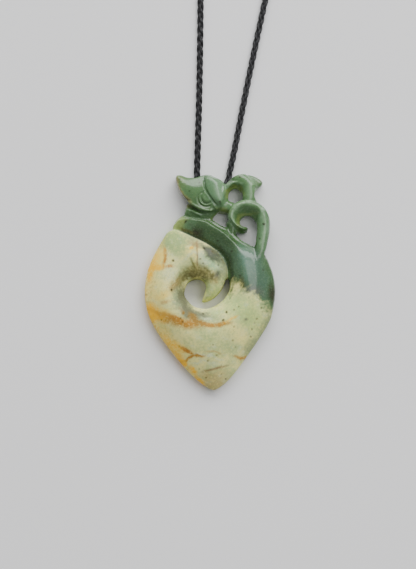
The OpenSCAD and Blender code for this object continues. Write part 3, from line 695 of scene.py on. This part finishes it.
@dataclass(frozen=True)
class Greenstone:
    """Polished green stone that pales to cream, with rust-coloured rind and veins."""

    rough: float = 0.5
    polished: float = 0.2
    coat: float = 0.65
    index: float = 1.33
    cloud_scale: float = 420
    grain_scale: float = 1300
    fine_scale: float = 3600
    wide_scale: float = 130
    dot_scale: float = 330

    @staticmethod
    def tints(places: Rows, base: Rows, patches: Iterable[Patch], ragged: Rows | float = 0.0) -> Rows:
        """Lay patches over a base colour.

        Args:
            places: Rows of x and y in millimetres.
            base: The colour below them at each place.
            patches: The patches, from the lowest up.
            ragged: How the patches' soft edges are broken up at each place, about 0.

        Returns:
            The colour at each place.
        """
        colours = base.copy()
        for patch in patches:
            share = patch.cover(places)
            share = np.clip(share + ragged * share * (1 - share), 0, 1)[:, None]
            colours = colours * (1 - share) + np.array(patch.colour) * share
        return colours

    @staticmethod
    def veins(places: Rows, patches: Iterable[Patch]) -> Rows:
        """Gather the veins' colour, with how much of it lies at each place as a fourth number.

        Args:
            places: Rows of x and y in millimetres.
            patches: The veins' patches.

        Returns:
            Four numbers for each place.
        """
        total = np.zeros((len(places), 3))
        weight = np.full(len(places), TINY)
        clear = np.ones(len(places))
        for patch in patches:
            share = patch.cover(places)
            total += share[:, None] * np.array(patch.colour)
            weight += share
            clear *= 1 - share
        return np.column_stack([total / weight[:, None], 1 - clear])

    def paint(self, piece: Piece, points: Rows) -> None:
        """Store the zones' colours on the stone's points, with the painted shade, sheen, highlights and glow
        that the patch tables hold.

        Args:
            piece: The stone.
            points: Its points in millimetres.
        """
        places = points[:, :2]
        move = drift(points, 2.6, 0.8) + drift(points, 0.8, 0.4)
        cloudy, ragged = waves(points / 4.0), waves(points / 0.55)
        share = np.clip(0.5 + cloudy * 1.8, 0, 1)[:, None]
        pale = np.array(CREAM) * (1 - share) + np.array(PALE) * share
        green = np.array(LEAF) * (1 - share * 0.5) + np.array(FERN) * share * 0.5
        pale = self.tints(places + move, pale, PALE_PATCHES, ragged)
        green = self.tints(places + move, green, GREEN_PATCHES, ragged * 0.5)
        opaque = np.ones(len(points))
        layers = {
            PALE_TINT: np.column_stack([self.tints(places + move * 0.2, pale, SPECKS), opaque]),
            GREEN_TINT: np.column_stack([self.tints(places + move * 0.2, green, SPECKS), opaque]),
            VEIN_TINT: self.veins(places + move * 0.6, VEIN_PATCHES),
        }
        for name, values in layers.items():
            layer = piece.data.attributes.new(name, "FLOAT_COLOR", "POINT")
            layer.data.foreach_set("color", values.astype(np.float32).ravel())

    def material(self) -> bpy.types.Material:
        """Make the stone's finish from its own colour zones and noise on Object coordinates."""
        net = Net("greenstone_polish")
        place = net.node("TexCoord")["Object"]
        cloud = net.noise(place, self.cloud_scale, 5, 0.62)
        grain = net.noise(place, self.grain_scale, 5, 0.68)
        fine = net.noise(place, self.fine_scale, 3, 0.6)
        wide = net.noise(place, self.wide_scale, 3)
        pale, green, vein_tint, edge = (
            net.node("Attribute", {"attribute_name": name})
            for name in (PALE_TINT, GREEN_TINT, VEIN_TINT, GREEN_SIDE)
        )
        bright = net.node("RGBToBW", None, {"Color": pale["Color"]})["Val"].between(0.14, 0.42)
        light = net.mix(pale["Color"], SAGE, bright * cloud.between(0.5, 0.68) * 0.34)
        light = net.mix(light, PEACH, bright * grain.between(0.55, 0.68) * wide.between(0.42, 0.62) * 0.38)
        light = net.mix(light, MILK, bright * cloud.between(0.46, 0.32) * 0.35)
        parts = net.node("SeparateColor", None, {"Color": pale["Color"]})
        warm = (parts["Red"] - parts["Green"]).between(0.05, 0.24)
        light = net.mix(light, OCHRE, warm * grain.between(0.53, 0.64) * 0.5)
        light = net.mix(light, BUTTER, warm * grain.between(0.47, 0.38) * 0.75)
        light = net.mix(light, CHALK, warm * fine.between(0.55, 0.66) * 0.45)
        light = net.mix(light, SAGE, bright * (1.0 - warm) * grain.between(0.52, 0.62) * 0.3)
        light = net.mix(light, BUTTER, bright * grain.between(0.48, 0.38) * 0.3)
        gaps = grain.between(0.36, 0.56) * 0.6 + 0.85 - fine.between(0.54, 0.66) * 0.25
        streak = vein_tint["Alpha"] * gaps
        light = net.mix(light, vein_tint["Color"], streak.clamped())
        deep = net.mix(green["Color"], MOSS_AND_SHADE, cloud.between(0.54, 0.7) * 0.25)
        deep = net.mix(deep, MINT, grain.between(0.58, 0.72) * 0.12)
        side = edge["Fac"]
        side = side + (grain + cloud - 1.0) * side * (1 - side) * 3.2
        polish = side.between(0.15, 0.85)
        colour = net.mix(light, deep, polish)
        dots = net.node("TexVoronoi", None, {"Vector": place, "Scale": self.dot_scale})["Distance"]
        colour = net.mix(colour, BARK_AND_SHADE, dots.between(0.15, 0.07) * wide.between(0.47, 0.6) * 0.55)
        speckle = fine.between(0.54, 0.7) * (bright * 0.08 + 0.1) * (1.0 - polish * 0.6)
        colour = net.mix(colour, CREAM, speckle)
        colour = net.mix(colour, OLIVE_AND_SHADE, fine.between(0.46, 0.3) * (1.0 - polish) * 0.22)
        bump = net.bump(wide + cloud * 0.3, 0.1, 0.0002)
        return net.finish(
            Base_Color=colour, Roughness=self.rough - polish * (self.rough - self.polished) + grain * 0.14,
            Normal=bump, IOR=self.index, Coat_Weight=polish * self.coat, Coat_Roughness=0.14, Coat_IOR=1.5,
            Subsurface_Weight=0.15, Subsurface_Radius=(0.9, 1.0, 0.5), Subsurface_Scale=0.001,
        )


@dataclass
class HookStone:
    """The carved stone, a fine smooth copy of the solid with its lines worked in. Sizes are in millimetres."""

    voxel: float = 0.275
    weld: float = 0.002
    relax_rounds: int = 5
    relax_steps: tuple[float, float] = (0.62, -0.6)
    even_rounds: int = 8
    iron_step: float = 0.6
    body_rounds: int = 50
    head_rounds: int = 60
    swell_rounds: int = 30
    line_reach: float = 1.0
    front_level: float = 2.0
    bulge: float = 0.55
    piece: Piece = field(init=False)

    def build(self) -> Piece:
        """Make the stone's mesh.

        Returns:
            The finished piece.
        """
        self.piece = self._remeshed()
        self._relax(self.relax_rounds)
        self._iron(self.body_rounds, self._body())
        self._iron(self.head_rounds, self._near(HEAD_FACE, 3.0, 1.0) * self._even(0.8, 0.9))
        for swell in SWELLS:
            self._round_over(swell)
        self._bulge()
        self._refine()
        self._relax(2)
        for line in CARVED_LINES:
            self._work(line)
        self._mark_green()
        for face in self.piece.data.polygons:
            face.use_smooth = True
        finish = Greenstone()
        finish.paint(self.piece, self._points())
        dressed(self.piece, finish.material(), STONE_NODE)
        return self.piece

    def _remeshed(self) -> Piece:
        """Copy the solid as even small quads."""
        shell = bmesh.new()
        shell.from_mesh(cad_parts[STONE_NODE].data)
        bmesh.ops.remove_doubles(shell, verts=shell.verts, dist=self.weld * MM)
        rough = meshed("rough_stone", shell)
        remesh = rough.modifiers.new("even", "REMESH")
        remesh.mode = "VOXEL"
        remesh.voxel_size = self.voxel * MM
        ready = rough.evaluated_get(bpy.context.evaluated_depsgraph_get())
        fine = bpy.data.meshes.new_from_object(ready)
        fine.name = "hook_stone"
        bpy.data.objects.remove(rough)
        return placed("hook_stone", fine)

    def _points(self) -> Rows:
        """Read the mesh's points in millimetres."""
        return read_rows(self.piece.data.vertices, "co") / MM

    def _normals(self) -> Rows:
        """Read the mesh's point normals."""
        return read_rows(self.piece.data.vertex_normals, "vector")

    def _write(self, points: Rows) -> None:
        """Move the mesh's points to places in millimetres."""
        self.piece.data.vertices.foreach_set("co", (points * MM).astype(np.float32).ravel())
        self.piece.data.update()

    def _neighbours(self) -> tuple[Rows, Rows]:
        """Read which points the mesh's edges join, both ways round, and how many edges meet at each."""
        edges = np.zeros(len(self.piece.data.edges) * 2, np.int32)
        self.piece.data.edges.foreach_get("vertices", edges)
        ends = edges.reshape(-1, 2)
        both = np.concatenate([ends, ends[:, ::-1]])
        count = np.maximum(np.bincount(both[:, 0], minlength=len(self.piece.data.vertices)), 1)[:, None]
        return both, count

    @staticmethod
    def _mean(values: Rows, both: Rows, count: Rows) -> Rows:
        """Average each column of values over each point's neighbours."""
        return np.stack([
            np.bincount(both[:, 0], weights=column[both[:, 1]], minlength=len(values)) for column in values.T
        ], axis=1) / count

    def _relax(self, rounds: int) -> None:
        """Smooth the mesh without shrinking it, by pairs of a smoothing step and a swelling one."""
        both, count = self._neighbours()
        points = self._points()
        for amount in self.relax_steps * rounds:
            points += amount * (self._mean(points, both, count) - points)
        self._write(points)

    def _even(self, low: float, high: float) -> Rows:
        """Find the points of the front away from sharp edges.

        Args:
            low: Length of the mean normal that counts as sharp.
            high: Length of the mean normal that counts as even.

        Returns:
            A share from 0 to 1 for each point.
        """
        both, count = self._neighbours()
        normals = self._normals()
        upward = normals[:, 2]
        for _ in range(self.even_rounds):
            normals = self._mean(normals, both, count)
        return ramp(np.linalg.norm(normals, axis=1), low, high) * ramp(upward, 0.2, 0.5)

    def _near(self, places: Sequence[Place], reach: float, soft: float) -> Rows:
        """Find the points near a line.

        Args:
            places: The line's places.
            reach: How far from it a point is still wholly near.
            soft: Over how much more the share falls to 0.

        Returns:
            A share from 0 to 1 for each point.
        """
        gap = beside_path(self._points()[:, :2], smooth_path(places, 4))[0]
        return ramp(gap, reach + soft, reach)

    def _body(self) -> Rows:
        """Find the hook's broad faces, away from the bird, the frond and the lobe's step."""
        places = self._points()[:, :2]
        away = -beside_path(places, np.array(ARM_EDGE))[2]
        step = beside_path(places, smooth_path(LOBE_EDGE[:LOBE_STEP], 3))[0]
        return self._even(0.8, 0.88) * ramp(away, 1.4, 3.4) * ramp(step, 0.5, 1.5)

    def _iron(self, rounds: int, share: Rows) -> None:
        """Level the heights of the front among neighbours.

        Args:
            rounds: Number of rounds.
            share: How much each point takes part.
        """
        both, count = self._neighbours()
        points = self._points()
        high = points[:, 2:]
        for _ in range(rounds):
            high += self.iron_step * share[:, None] * (self._mean(high, both, count) - high)
        self._write(points)

    def _round_over(self, swell: Swell) -> None:
        """Level a stretch of the front and raise it to a rounded band."""
        near = self._near(swell.places, swell.half * 0.7, 0.5)
        self._iron(self.swell_rounds, near * self._even(0.72, 0.84))
        points, normals = self._points(), self._normals()
        gap, share, _ = beside_path(points[:, :2], smooth_path(swell.places, 4))
        ends = np.clip(np.minimum(share / 0.15, (1 - share) / 0.25), 0, 1)
        arch = np.sqrt(np.clip(1 - (gap / swell.half) ** 2, 0, 1))
        level = swell.edge + (swell.crown - swell.edge) * arch
        chosen = (gap < swell.half) & (normals[:, 2] > 0.2) & (level > points[:, 2])
        points[:, 2] += np.where(chosen, level - points[:, 2], 0) * eased(ends)
        self._write(points)

    def _bulge(self) -> None:
        """Fill out the flat face on the right side."""
        points, normals = self._points(), self._normals()
        gap, share, _ = beside_path(points[:, :2], smooth_path(RIGHT_FACE, 4))
        ends = ramp(np.minimum(share, 1 - share), 0, 0.3)
        points[:, 2] += self.bulge * np.exp(-((gap / 2.0) ** 2)) * ends * ramp(normals[:, 2], 0.5, 0.8)
        self._write(points)

    def _refine(self) -> None:
        """Halve the faces of the front near the worked lines."""
        points = self._points()
        near = np.zeros(len(points), bool)
        for line in CARVED_LINES:
            near |= beside_path(points[:, :2], smooth_path(line.places, 3))[0] < self.line_reach
        near &= points[:, 2] > self.front_level
        shell = bmesh.new()
        shell.from_mesh(self.piece.data)
        chosen = [edge for edge in shell.edges if near[edge.verts[0].index] and near[edge.verts[1].index]]
        bmesh.ops.subdivide_edges(shell, edges=chosen, cuts=1, use_grid_fill=True)
        bmesh.ops.triangulate(shell, faces=[face for face in shell.faces if len(face.verts) > 4])
        shell.to_mesh(self.piece.data)
        shell.free()

    def _work(self, line: CarvedLine) -> None:
        """Cut or raise one line on the front."""
        points, normals = self._points(), self._normals()
        gap, share, side = beside_path(points[:, :2], smooth_path(line.places, 4))
        ends = ramp(np.minimum(share, 1 - share), 0, line.fade)
        facing = ramp(normals[:, 2], 0.1, 0.5) * (points[:, 2] > self.front_level)
        lift = line.height * np.exp(-((gap / line.width) ** 2)) * ends * facing
        if line.kind is Carving.CUT:
            lift = -lift
        elif line.kind is Carving.STEP:
            lift *= ramp(side, 0, 0.5)
        self._write(points + normals * lift[:, None])

    def _mark_green(self) -> None:
        """Store on which side of the lobe's edge each point lies."""
        points = self._points()
        places = points[:, :2]
        value = ramp(beside_path(places, smooth_path(LOBE_EDGE, 3))[2], -0.3, 0.3)
        moved = places + drift(points, 2.4, 0.9) + drift(points, 0.7, 0.6)
        x, y = (places - np.array(RAY_MIDDLE)).T
        rays = waves(np.stack([np.arctan2(y, x) * 15, np.hypot(x, y) / 4, np.full(len(x), 0.5)], axis=1))
        fade = beside_path(moved, smooth_path(GREEN_FADE, 3))[2]
        value *= ramp(fade + rays * 1.6, -2.3, 2.3)
        layer = self.piece.data.attributes.new(GREEN_SIDE, "FLOAT", "POINT")
        layer.data.foreach_set("value", value.astype(np.float32))


@dataclass(frozen=True)
class WaxedThread:
    """Black waxed thread, with its fine plies along the strand."""

    dark: Colour = (0.006, 0.006, 0.007)
    ridge_grey: Colour = (0.026, 0.026, 0.029)
    plies: float = 3.0

    def material(self) -> bpy.types.Material:
        """Make the thread's finish on the strand's own UV map."""
        net = Net("waxed_thread")
        place = net.node("TexCoord")
        parts = net.node("SeparateXYZ", None, {0: place["UV"]})
        turn = (parts["X"] * self.plies + parts["Y"]) * (2 * math.pi)
        ridge = net.math("SINE", turn) * 0.5 + 0.5
        fuzz = net.noise(place["Object"], 5200, 3, 0.7)
        # lighter grey along the plies' ridges
        colour = net.mix(self.dark, self.ridge_grey, (ridge * 0.75 + fuzz * 0.6 - 0.25).clamped())
        bump = net.bump(ridge + fuzz * 0.5, 0.9, 0.00012)
        return net.finish(Base_Color=colour, Roughness=0.42 + fuzz * 0.3, Normal=bump, Specular_IOR_Level=0.3,
                          Sheen_Weight=0.05, Sheen_Roughness=0.5)


@dataclass
class PlaitedCord:
    """A three-strand plait along a path. Sizes are in millimetres."""

    sway: float = 0.52
    rise: float = 0.36
    strand_wide: float = 0.5
    strand_high: float = 0.36
    repeat: float = 8.7
    ring_gap: float = 0.55
    sides: int = 10
    drop: float = 0.1
    ply_length: float = 1.6

    def loop_path(self) -> Rows:
        """Work out the cord's middle line from one side of the knot round to the other.

        Returns:
            Its points in millimetres, evenly spaced.
        """
        x, y, z = KNOT_MIDDLE
        route = [
            (x - KNOT_REACH, y, z), (x - KNOT_REACH - LEAD, y, z), *CORD_ROUTE,
            (x + KNOT_REACH + LEAD, y, z), (x + KNOT_REACH, y, z),
        ]
        return self.evenly(smooth_path(route, 8))

    def evenly(self, path: Rows) -> Rows:
        """Space a path's points evenly.

        Args:
            path: The points.

        Returns:
            Points about ring_gap apart on the same line.
        """
        steps = np.concatenate([[0], np.cumsum(np.linalg.norm(np.diff(path, axis=0), axis=1))])
        spots = np.linspace(0, steps[-1], max(2, round(steps[-1] / self.ring_gap)) + 1)
        return np.stack([np.interp(spots, steps, column) for column in path.T], axis=1)

    def strand(self, shell: bmesh.types.BMesh, path: Rows, sides: Rows, ups: Rows,
               start: float) -> None:
        """Add one strand of the plait.

        Args:
            shell: The mesh that it goes into.
            path: The plait's middle line.
            sides: Direction across the plait at each point.
            ups: Direction out of its flat side at each point.
            start: Turn of the strand at the start, in radians.
        """
        done = np.arange(len(path)) * np.linalg.norm(path[1] - path[0])
        turn = 2 * math.pi * done / self.repeat + start
        middle = path + sides * (self.sway * np.sin(turn))[:, None]
        middle += ups * (self.rise * np.sin(2 * turn))[:, None]
        ahead = units(np.gradient(middle, axis=0))
        across = units(np.cross(ups, ahead))
        over = np.cross(ahead, across)
        layer = shell.loops.layers.uv.verify()
        angles = 2 * math.pi * np.arange(self.sides) / self.sides
        rings = []
        for point, wide, high in zip(middle, across, over):
            rings.append([shell.verts.new((point + self.strand_wide * math.cos(a) * wide
                                           + self.strand_high * math.sin(a) * high) * MM) for a in angles])
        for i, (near, far) in enumerate(zip(rings[:-1], rings[1:])):
            for j in range(self.sides):
                k = (j + 1) % self.sides
                face = shell.faces.new((near[j], near[k], far[k], far[j]))
                face.smooth = True
                spots = ((j, i), (j + 1, i), (j + 1, i + 1), (j, i + 1))
                for loop, (around, along) in zip(face.loops, spots):
                    loop[layer].uv = (around / self.sides, done[along] / self.ply_length)
        shell.faces.new(rings[0][::-1])
        shell.faces.new(rings[-1])

    def plait(self, name: str, path: Rows, sides: Rows, ups: Rows) -> Piece:
        """Make a plait of three strands.

        Args:
            name: The piece's name.
            path: Its middle line in millimetres.
            sides: Direction across it at each point.
            ups: Direction out of its flat side at each point.

        Returns:
            The piece.
        """
        shell = bmesh.new()
        for number in range(3):
            self.strand(shell, path, sides, ups, number * 2 * math.pi / 3)
        bmesh.ops.recalc_face_normals(shell, faces=shell.faces)
        return meshed(name, shell)

    def build(self) -> Piece:
        """Make the whole loop of cord."""
        path = self.loop_path()
        ahead = units(np.gradient(path, axis=0))
        sides = units(np.cross(ahead, (0, 0, 1)))
        ups = np.cross(sides, ahead)
        return self.plait("plaited_loop", path - ups * self.drop, sides, ups)


@dataclass
class BarrelKnot:
    """The knot that closes the loop, wound from the same plait. Sizes are in millimetres."""

    cord: PlaitedCord
    wraps: float = 3.2
    pitch: float = 1.76
    radius: float = 1.42

    def build(self) -> Piece:
        """Wind the plait round the knot's axis.

        Returns:
            The piece.
        """
        turns = np.linspace(0, 2 * math.pi * self.wraps, 300)
        reach = self.wraps * self.pitch
        radius = self.radius * (0.72 + 0.28 * ramp(np.minimum(turns, turns[-1] - turns), 0, 1.2))
        path = self.cord.evenly(np.stack([
            KNOT_MIDDLE[0] + turns / turns[-1] * reach - reach / 2,
            KNOT_MIDDLE[1] + radius * np.cos(turns),
            KNOT_MIDDLE[2] + radius * np.sin(turns),
        ], axis=1))
        ups = path - np.array([0, KNOT_MIDDLE[1], KNOT_MIDDLE[2]])
        ups[:, 0] = 0
        ups = units(ups)
        sides = units(np.cross(np.gradient(path, axis=0), ups))
        return self.cord.plait("barrel_knot", path, sides, ups)


@dataclass
class Studio:
    """The pale floor, the soft light and the camera at the photo's angle. Lengths are in metres."""

    distance: float = 0.62
    elevation: float = 82.0
    aim: Spot = (-0.00053, -0.0011, 0.004)
    closer: float = 1.003
    floor_size: float = 12.0
    floor_tone: Colour = (0.86, 0.86, 0.87)
    room_light: float = 0.38

    def camera(self) -> None:
        """Place the camera so that the photo's frame is filled as in the photo."""
        data = bpy.data.cameras.new("view")
        data.sensor_fit = "AUTO"
        data.sensor_width = 36.0
        data.lens = data.sensor_width * self.distance * self.closer / (PHOTO_HIGH * MM_PER_PIXEL * MM)
        data.clip_start = 0.01
        eye = placed("view", data)
        angle = math.radians(self.elevation)
        away = Vector((0, -math.cos(angle), math.sin(angle)))
        eye.location = Vector(self.aim) + away * self.distance
        eye.rotation_euler = away.to_track_quat("Z", "Y").to_euler()
        bpy.context.scene.camera = eye

    def floor(self) -> None:
        """Lay the pale floor."""
        shell = bmesh.new()
        bmesh.ops.create_grid(shell, x_segments=1, y_segments=1, size=self.floor_size)
        floor = meshed("floor", shell)
        floor.data.materials.append(Net("pale_floor").finish(Base_Color=self.floor_tone, Roughness=0.75))

    @staticmethod
    def lamp(name: str, place: Spot, size: Place, power: float) -> None:
        """Hang one soft lamp that faces the stone.

        Args:
            name: Its name.
            place: Its middle.
            size: Its sides.
            power: Its power in watts.
        """
        data = bpy.data.lights.new(name, "AREA")
        data.shape = "RECTANGLE"
        data.size, data.size_y = size
        data.energy = power
        lamp = placed(name, data)
        lamp.location = place
        lamp.rotation_euler = Vector(place).to_track_quat("Z", "Y").to_euler()

    def light(self) -> None:
        """Hang the lamps and set the room's even light."""
        self.lamp("window", (0.3, 1.45, 0.88), (2.7, 1.2), 60.0)
        self.lamp("side_window", (0.8, 0.22, 1.3), (0.9, 0.9), 6.5)
        world = bpy.data.worlds.new("room")
        world.use_nodes = True
        background = world.node_tree.nodes["Background"].inputs
        background["Color"].default_value = (1, 1, 1, 1)
        background["Strength"].default_value = self.room_light
        bpy.context.scene.world = world

    def build(self) -> None:
        """Set up the camera, the floor and the light."""
        self.camera()
        self.floor()
        self.light()


def main() -> None:
    """Build every piece in order and report it."""
    logging.basicConfig(level=logging.INFO, format="%(name)s: %(message)s")
    noise.seed_set(NOISE_SEED)
    Studio().build()
    log.info("camera, floor and light are set")
    cord = PlaitedCord()
    loop, knot = cord.build(), BarrelKnot(cord).build()
    thread = WaxedThread().material()
    dressed(loop, thread, CORD_NODE)
    dressed(knot, thread, KNOT_NODE)
    stone = HookStone().build()
    for piece in (loop, knot, stone):
        log.info("%s has %d faces", piece.name, len(piece.data.polygons))


if __name__ == "__main__":
    main()
